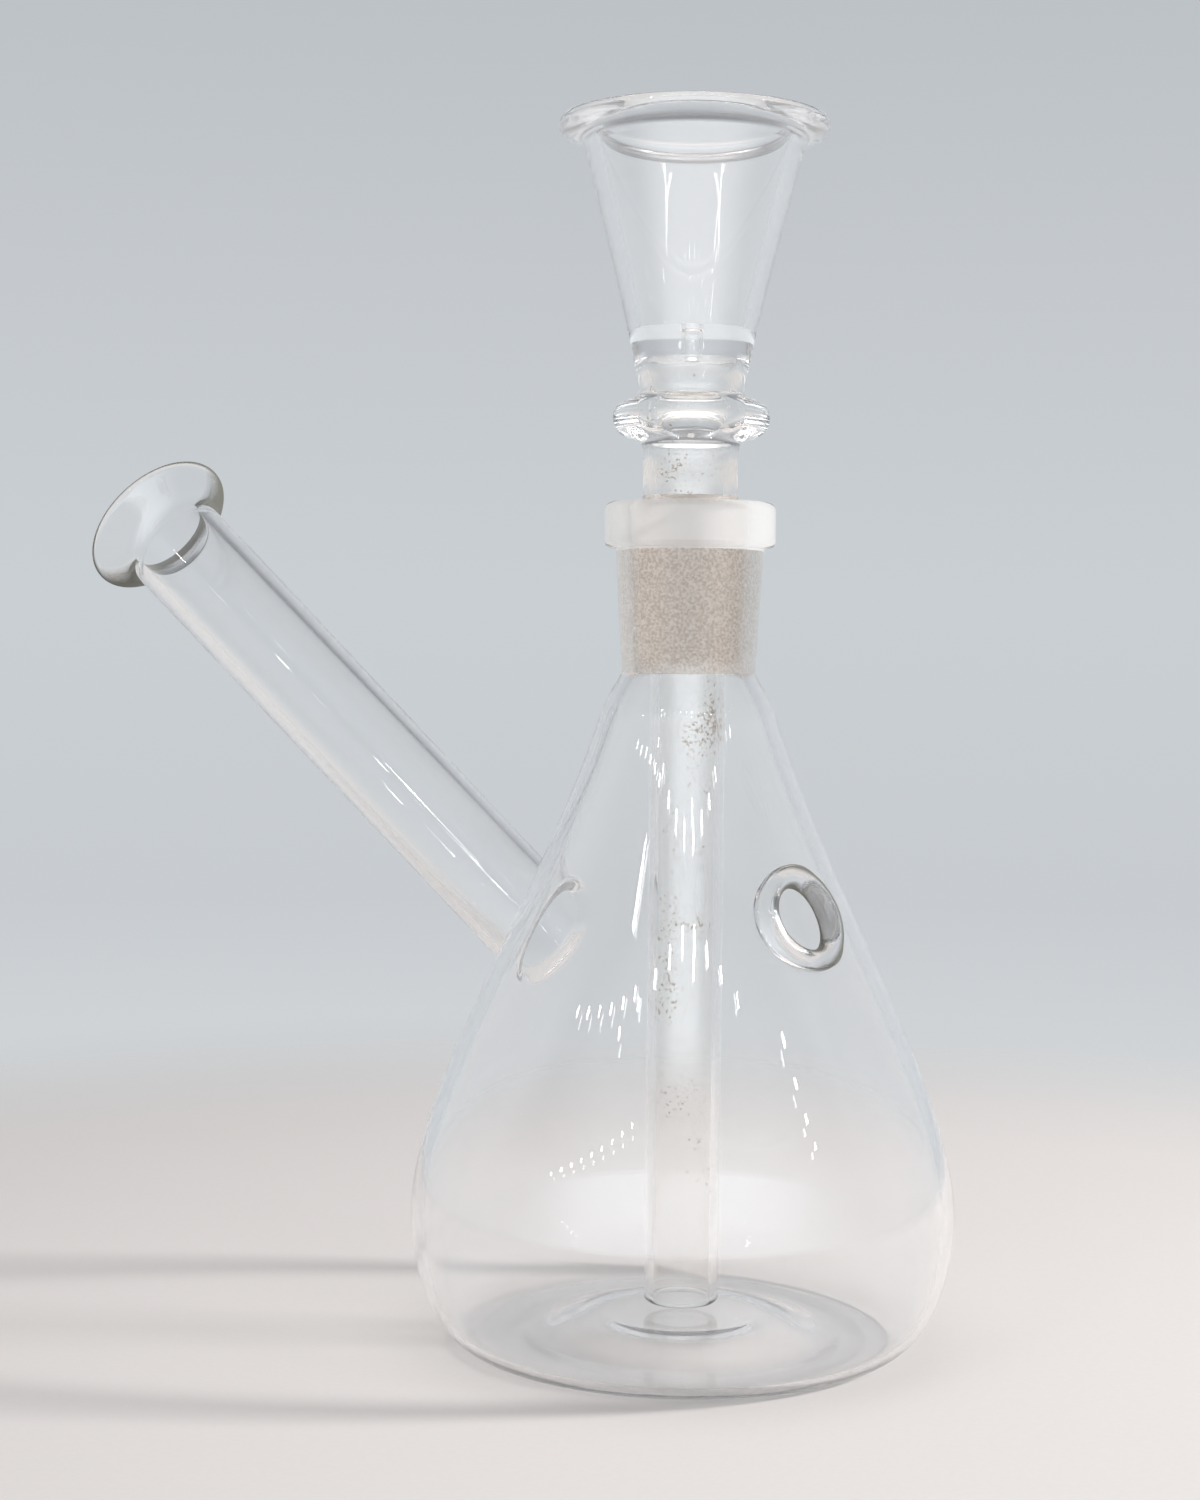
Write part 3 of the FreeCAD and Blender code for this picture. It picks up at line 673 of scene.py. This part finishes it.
# ---- materials --------------------------------------------------------------------------
class NodeTree:
    """Short ways to add and join the nodes of one tree."""

    def __init__(self, tree):
        self.tree = tree

    def add(self, kind, **settings):
        """New node; a setting named in_Some_Socket is the value of that input."""
        node = self.tree.nodes.new(kind)
        for key, value in settings.items():
            if key.startswith("in_"):
                node.inputs[key[3:].replace("_", " ")].default_value = value
            else:
                setattr(node, key, value)
        return node

    def join(self, source, target):
        self.tree.links.new(source, target)

    def noise(self, place, **settings):
        """Noise on the object's own coordinates."""
        texture = self.add("ShaderNodeTexNoise", **settings)
        self.join(place.outputs["Object"], texture.inputs["Vector"])
        return texture.outputs["Fac"]

    def bump(self, height, strength, distance):
        node = self.add("ShaderNodeBump", in_Strength=strength, in_Distance=distance)
        self.join(height, node.inputs["Height"])
        return node.outputs[0]

    def math(self, operation, first, second):
        node = self.add("ShaderNodeMath", operation=operation)
        self.join(first, node.inputs[0])
        self.join(second, node.inputs[1])
        return node.outputs[0]

    def spread(self, source, start, end, low, high, **settings):
        """Value that runs from low to high as the source runs from start to end."""
        node = self.add("ShaderNodeMapRange", in_From_Min=start, in_From_Max=end,
                        in_To_Min=low, in_To_Max=high, **settings)
        self.join(source, node.inputs["Value"])
        return node.outputs["Result"]

    def ramp(self, source, *stops):
        """Colour that follows the source through stops of a position and a colour."""
        node = self.add("ShaderNodeValToRGB")
        elements = node.color_ramp.elements
        while len(elements) < len(stops):
            elements.new(0.5)
        for element, (position, colour) in zip(elements, stops):
            element.position = position
            element.color = (*colour, 1)
        self.join(source, node.inputs["Fac"])
        return node.outputs["Color"]

    def mix(self, share, first, second):
        """The second shader by a share, which is a number or an output, and else the first."""
        node = self.add("ShaderNodeMixShader")
        if isinstance(share, float):
            node.inputs[0].default_value = share
        else:
            self.join(share, node.inputs[0])
        self.join(first, node.inputs[1])
        self.join(second, node.inputs[2])
        return node.outputs[0]


class Nodes(NodeTree):
    """The node tree of one new material, emptied but for its output."""

    def __init__(self, name):
        self.material = bpy.data.materials.new(name)
        self.material.use_nodes = True
        super().__init__(self.material.node_tree)
        self.tree.nodes.clear()
        self.output = self.tree.nodes.new("ShaderNodeOutputMaterial")

    def glass(self, colour, roughness=0.0, normal=None):
        """Solid glass, whose colour and roughness are plain values or outputs."""
        node = self.add("ShaderNodeBsdfPrincipled", in_IOR=GLASS_IOR, in_Transmission_Weight=1.0)
        for name, value in (("Base Color", colour), ("Roughness", roughness)):
            if isinstance(value, (float, tuple)):
                node.inputs[name].default_value = value
            else:
                self.join(value, node.inputs[name])
        if normal is not None:
            self.join(normal, node.inputs["Normal"])
        return node.outputs[0]


def shadow_mix(nodes, surface, centre, edge):
    """Lets light through to what lies behind, less in shadows where the glass is seen edge on."""
    path = nodes.add("ShaderNodeLightPath")
    facing = nodes.add("ShaderNodeLayerWeight", in_Blend=0.5)
    edge_on = nodes.math("MULTIPLY", facing.outputs["Facing"], path.outputs["Is Shadow Ray"])
    through = nodes.add("ShaderNodeBsdfTransparent")
    nodes.join(nodes.ramp(edge_on, (0.4, centre), (0.85, edge)), through.inputs["Color"])
    either = nodes.math("MAXIMUM", path.outputs["Is Shadow Ray"], path.outputs["Is Diffuse Ray"])
    nodes.join(nodes.mix(either, surface, through.outputs[0]), nodes.output.inputs["Surface"])


def clear_glass():
    """Blown borosilicate: slow waves from working in the flame, faint smears and a thin film."""
    nodes = Nodes("clear_glass")
    place = nodes.add("ShaderNodeTexCoord")
    waves = nodes.noise(place, in_Scale=55.0, in_Detail=1.0, in_Roughness=0.4)
    bump = nodes.bump(waves, 0.08, 0.0004)
    smears = nodes.noise(place, in_Scale=130.0, in_Detail=4.0, in_Roughness=0.6)
    rough = nodes.spread(smears, 0.6, 0.8, 0.0, 0.012)
    glass = nodes.glass((1.0, 1.0, 1.0, 1.0), rough, bump)
    film = nodes.add("ShaderNodeBsdfDiffuse", in_Color=(0.95, 0.95, 0.95, 1))
    share = nodes.spread(smears, 0.3, 0.7, 0.024, 0.036)
    shadow_mix(nodes, nodes.mix(share, glass, film.outputs[0]), (0.99, 0.99, 0.99), (0.18, 0.18, 0.185))
    return nodes.material


def edge_shade_painted_glass():
    """The same glass rolled into a thick bead, with painted shade: it turns grey-green and dark where it
    is seen edge on.
    """
    nodes = Nodes("edge_shade_painted_glass")
    facing = nodes.add("ShaderNodeLayerWeight", in_Blend=0.5).outputs["Facing"]
    # painted shade: the colour falls from white to near black as the glass is seen more edge on
    tone = nodes.ramp(facing, (0.42, (1.0, 1.0, 1.0)), (0.68, (0.07, 0.07, 0.058)))
    # a dark matt layer laid over the edge-on parts, also painted shade
    edge = nodes.add("ShaderNodeBsdfDiffuse", in_Color=(0.16, 0.16, 0.135, 1))
    share = nodes.spread(facing, 0.42, 0.7, 0.0, 0.8)
    bead = nodes.mix(share, nodes.glass(tone), edge.outputs[0])
    shadow_mix(nodes, bead, (0.98, 0.98, 0.98), (0.3, 0.3, 0.3))
    return nodes.material


def used_glass():
    """Glass that smoke has passed through: a faint warm cast and a few brown specks."""
    nodes = Nodes("used_glass")
    place = nodes.add("ShaderNodeTexCoord")
    specks = nodes.noise(place, in_Scale=1700.0, in_Detail=1.0)
    patches = nodes.noise(place, in_Scale=90.0, in_Detail=2.0)
    both = nodes.math("MULTIPLY", specks, patches)
    clean, stained, brown = (0.975, 0.97, 0.96), (0.93, 0.905, 0.875), (0.36, 0.26, 0.18)
    tone = nodes.ramp(both, (0.30, clean), (0.40, stained), (0.45, brown))
    shadow_mix(nodes, nodes.glass(tone), (0.95, 0.95, 0.94), (0.3, 0.3, 0.3))
    return nodes.material


def ground_glass(name, dark, light, frosting, matt_share):
    """Ground taper: fine grit that scatters light, with specks of warm grease."""
    nodes = Nodes(name)
    place = nodes.add("ShaderNodeTexCoord")
    grit = nodes.noise(place, in_Scale=1500.0, in_Detail=3.0)
    specks = nodes.noise(place, in_Scale=2400.0, in_Detail=3.0, in_Roughness=0.65)
    tone = nodes.ramp(specks, (0.40, dark), (0.60, light))
    glass = nodes.glass(tone, 0.36, nodes.bump(grit, 0.25, 0.00005))
    glow = nodes.add("ShaderNodeBsdfTranslucent")
    nodes.join(tone, glow.inputs["Color"])
    matt = nodes.add("ShaderNodeBsdfDiffuse")
    nodes.join(tone, matt.inputs["Color"])
    frost = nodes.mix(matt_share, glow.outputs[0], matt.outputs[0])
    shadow_mix(nodes, nodes.mix(frosting, glass, frost), (0.92, 0.91, 0.9), (0.6, 0.6, 0.6))
    return nodes.material


def weld_face():
    """Where two pieces are fused into one, nothing shows."""
    nodes = Nodes("weld_face")
    through = nodes.add("ShaderNodeBsdfTransparent", in_Color=(1, 1, 1, 1))
    nodes.join(through.outputs[0], nodes.output.inputs["Surface"])
    return nodes.material


def paper(fade_start, fade_end):
    """Warm white paper whose far edge melts into the background."""
    nodes = Nodes("paper")
    place = nodes.add("ShaderNodeTexCoord")
    fibre = nodes.noise(place, in_Scale=900.0, in_Detail=6.0)
    sheet = nodes.add("ShaderNodeBsdfPrincipled", in_Roughness=0.75)
    tone = nodes.ramp(fibre, (0.0, (0.84, 0.785, 0.752)), (1.0, (0.885, 0.827, 0.792)))
    nodes.join(tone, sheet.inputs["Base Color"])
    nodes.join(nodes.bump(fibre, 0.1, 0.0001), sheet.inputs["Normal"])
    length = nodes.add("ShaderNodeVectorMath", operation="LENGTH")
    nodes.join(place.outputs["Object"], length.inputs[0])
    fade = nodes.spread(length.outputs["Value"], fade_start, fade_end, 0.0, 1.0,
                        interpolation_type="SMOOTHSTEP")
    clear = nodes.add("ShaderNodeBsdfTransparent")
    nodes.join(nodes.mix(fade, sheet.outputs[0], clear.outputs[0]), nodes.output.inputs["Surface"])
    return nodes.material


# ---- studio -----------------------------------------------------------------------------
CAMERA_AZIMUTH = math.radians(-55.5)
ROOM_SIDE = (0.94 * math.cos(CAMERA_AZIMUTH), 0.94 * math.sin(CAMERA_AZIMUTH), -0.2)
AIM = Vector((0, 0, 0.08))
FLOOR_DROP = 0.00005        # keeps the paper clear of the base ring


def linear(*channels):
    """Linear light for display values from 0 to 255."""
    values = [c / 255 for c in channels]
    return [v / 12.92 if v <= 0.04045 else ((v + 0.055) / 1.055) ** 2.4 for v in values]


def floor_sheet():
    radii = [0, 60, 120, 180, 240, 320, 420, 540, 700]
    shell = turned([straight((a, 0), (b, 0)) for a, b in zip(radii, radii[1:])], 96)
    shell.faces = [face[::-1] for face in shell.faces]
    mesh = shell.mesh("floor", shading=False)
    mesh.materials.append(paper(0.17, 0.36))
    floor = bpy.data.objects.new("floor", mesh)
    floor.location = (0, 0, -FLOOR_DROP)
    bpy.context.scene.collection.objects.link(floor)


def background():
    """Pale backdrop; the room opposite it is brighter, which shows only in reflections."""
    world = bpy.data.worlds.new("studio")
    bpy.context.scene.world = world
    world.use_nodes = True
    nodes = NodeTree(world.node_tree)
    shade = world.node_tree.nodes["Background"]
    place = nodes.add("ShaderNodeTexCoord")
    split = nodes.add("ShaderNodeSeparateXYZ")
    nodes.join(place.outputs["Generated"], split.inputs[0])
    height = nodes.spread(split.outputs["Z"], -1.0, 1.0, 0.0, 1.0)
    bands = [(-1.0, (205, 203, 202)), (-0.26, (221, 219, 218)), (-0.2, (215, 215, 217)),
             (-0.17, (210, 214, 217)), (-0.10, (200, 204, 208)), (0.02, (202, 207, 211)),
             (0.14, (197, 201, 205)), (0.26, (188, 193, 198)), (0.42, (180, 184, 189)),
             (0.60, (132, 135, 139)), (1.0, (104, 107, 112))]
    stops = [((level + 1) / 2, linear(*colour)) for level, colour in bands]
    nodes.join(nodes.ramp(height, *stops), shade.inputs["Color"])
    facing = nodes.add("ShaderNodeVectorMath", operation="DOT_PRODUCT")
    facing.inputs[1].default_value = ROOM_SIDE
    nodes.join(place.outputs["Generated"], facing.inputs[0])
    bright = nodes.spread(facing.outputs["Value"], 0.1, 0.95, 1.0, 4.4,
                          interpolation_type="SMOOTHSTEP")
    path = nodes.add("ShaderNodeLightPath")
    mirrored = nodes.math("SUBTRACT", path.outputs["Glossy Depth"], path.outputs["Is Diffuse Ray"])
    mirrored.node.use_clamp = True
    strength = nodes.add("ShaderNodeMix", in_A=1.0)
    nodes.join(mirrored, strength.inputs["Factor"])
    nodes.join(bright, strength.inputs["B"])
    nodes.join(strength.outputs["Result"], shade.inputs["Strength"])


def camera():
    """Nearly level view from the front right, a hand's breadth above the floor."""
    distance, leftward, height = 0.389, 0.0136, 0.1087
    pitch, roll = math.radians(2.405), math.radians(0.6)
    flat = Vector((-math.cos(CAMERA_AZIMUTH), -math.sin(CAMERA_AZIMUTH), 0))
    side = Vector((flat.y, -flat.x, 0))
    up = Vector((0, 0, 1))
    eye = -flat * distance - side * leftward + up * height
    forward = flat * math.cos(pitch) - up * math.sin(pitch)
    lifted = up * math.cos(pitch) + flat * math.sin(pitch)
    right = side * math.cos(roll) + lifted * math.sin(roll)
    top = lifted * math.cos(roll) - side * math.sin(roll)
    data = bpy.data.cameras.new("camera")
    data.sensor_width, data.lens = 36, 60
    data.clip_start, data.clip_end = 0.01, 20
    viewer = bpy.data.objects.new("camera", data)
    turn = Matrix((right, top, -forward)).transposed().to_4x4()
    viewer.matrix_world = Matrix.Translation(eye) @ turn
    bpy.context.scene.collection.objects.link(viewer)
    bpy.context.scene.camera = viewer
    return flat, side


def toward(azimuth, elevation, distance=1.0):
    """Point in a direction from the object; azimuth runs right from the camera's side."""
    a, e = math.radians(azimuth), math.radians(elevation)
    out = side * math.sin(a) - flat * math.cos(a)
    return AIM + (out * math.cos(e) + Vector((0, 0, math.sin(e)))) * distance


def softbox(name, place, size, power):
    """Rectangular lamp of a width and height in metres that faces the object."""
    light = bpy.data.lights.new(name, "AREA")
    light.shape = "RECTANGLE"
    light.size, light.size_y = size
    light.energy = power
    lamp = bpy.data.objects.new(name, light)
    lamp.location = place
    lamp.rotation_mode = "QUATERNION"
    lamp.rotation_quaternion = (AIM - Vector(place)).to_track_quat("-Z", "Y")
    lamp.visible_camera = False
    bpy.context.scene.collection.objects.link(lamp)
    return lamp


def lamp_row(name, start, end, count, size, power):
    """Small lamps in a row between two directions."""
    for i in range(count):
        t = i / (count - 1)
        spot = [a + (b - a) * t for a, b in zip(start, end)]
        softbox(f"{name}_{i}", toward(*spot), (size, size), power)


def lamp_bar(count, first, step, rise, size, power):
    """Small lamps on a straight level bar that is rise times as high as it is far in front."""
    for i in range(count):
        azimuth = first + step * i
        elevation = math.degrees(math.atan(rise * math.cos(math.radians(azimuth))))
        softbox(f"bar_{i}", toward(azimuth, elevation), (size, size), power)


def soft_lamp(*details):
    """Lamp that lights the paper and throws shadows but shows in no reflection."""
    lamp = softbox(*details)
    lamp.visible_glossy = False
    lamp.visible_transmission = False


def bowl_strip():
    """Ceiling strip that only the bowl mirrors."""
    bowl_only = bpy.data.collections.new("bowl_only")
    for name in ("bowl_cone_glass", "bowl_rim_glass"):
        bowl_only.objects.link(bpy.data.objects[name])
    strip = softbox("strip", toward(-1, 50), (1.3, 0.018), 0.9)
    strip.light_linking.receiver_collection = bowl_only


# ---- making -----------------------------------------------------------------------------
glass, fused = clear_glass(), weld_face()
ground = ground_glass("ground_glass", (0.6, 0.51, 0.43), (0.94, 0.88, 0.82), 0.3, 0.2)
polished = ground_glass("ground_edge", (0.97, 0.945, 0.92), (1.0, 0.99, 0.98), 0.7, 0.65)
# The "lip" finish, on the mouth lip and the vent's rim, has painted shade where its glass is seen edge on.
FINISHES = {"clear": [glass, ground, fused], "lip": [edge_shade_painted_glass(), ground, fused],
            "used": [used_glass(), ground, fused], "rim": [glass, polished, fused]}
NODE_FINISH = {"mouth_lip": "lip", "vent_rim": "lip", "socket_rim": "rim", "upper_neck": "used",
               "grip_ring": "used", "lower_neck": "used", "ground_cone": "used", "down_tube": "used"}

glass_piece("flask_body", flask_body_mesh(), "flask")
glass_piece("mouth_tube_weld", weld_mesh(), "flask")
glass_piece("vent_rim", vent_rim_mesh(), "flask")
for node, (runs, body, place) in TURNED.items():
    shell = turned(runs())
    if place is not None:
        shell = laid(shell, place)
    glass_piece(node, shell.mesh(node), body)

floor_sheet()
background()
flat, side = camera()

lamp_bar(9, -40, 9.0, 0.87, 0.016, 0.035)
lamp_row("low_left", (-60, 13.5), (-26, 26), 9, 0.013, 0.03)
lamp_row("high_left", (-68, 30), (-34, 37), 6, 0.013, 0.03)
lamp_row("right", (56, 30), (60, 18), 4, 0.02, 0.05)
softbox("panel_left", toward(-42, 40), (0.03, 0.05), 0.14)
softbox("panel_right", toward(62, 36), (0.03, 0.02), 0.07)
softbox("panel_front", toward(4, 40), (0.015, 0.02), 0.04)
bowl_strip()
soft_lamp("overhead", toward(0, 84, 0.32), (0.26, 0.26), 0.5)
soft_lamp("window", toward(88, 20), (0.15, 0.06), 9.0)

scene = bpy.context.scene
scene.view_settings.view_transform = "Standard"
scene.cycles.max_bounces = 24
scene.cycles.transmission_bounces = 24
scene.cycles.glossy_bounces = 12
scene.cycles.diffuse_bounces = 3
scene.cycles.transparent_max_bounces = 64
scene.cycles.caustics_reflective = False
scene.cycles.caustics_refractive = False

bpy.context.view_layer.update()
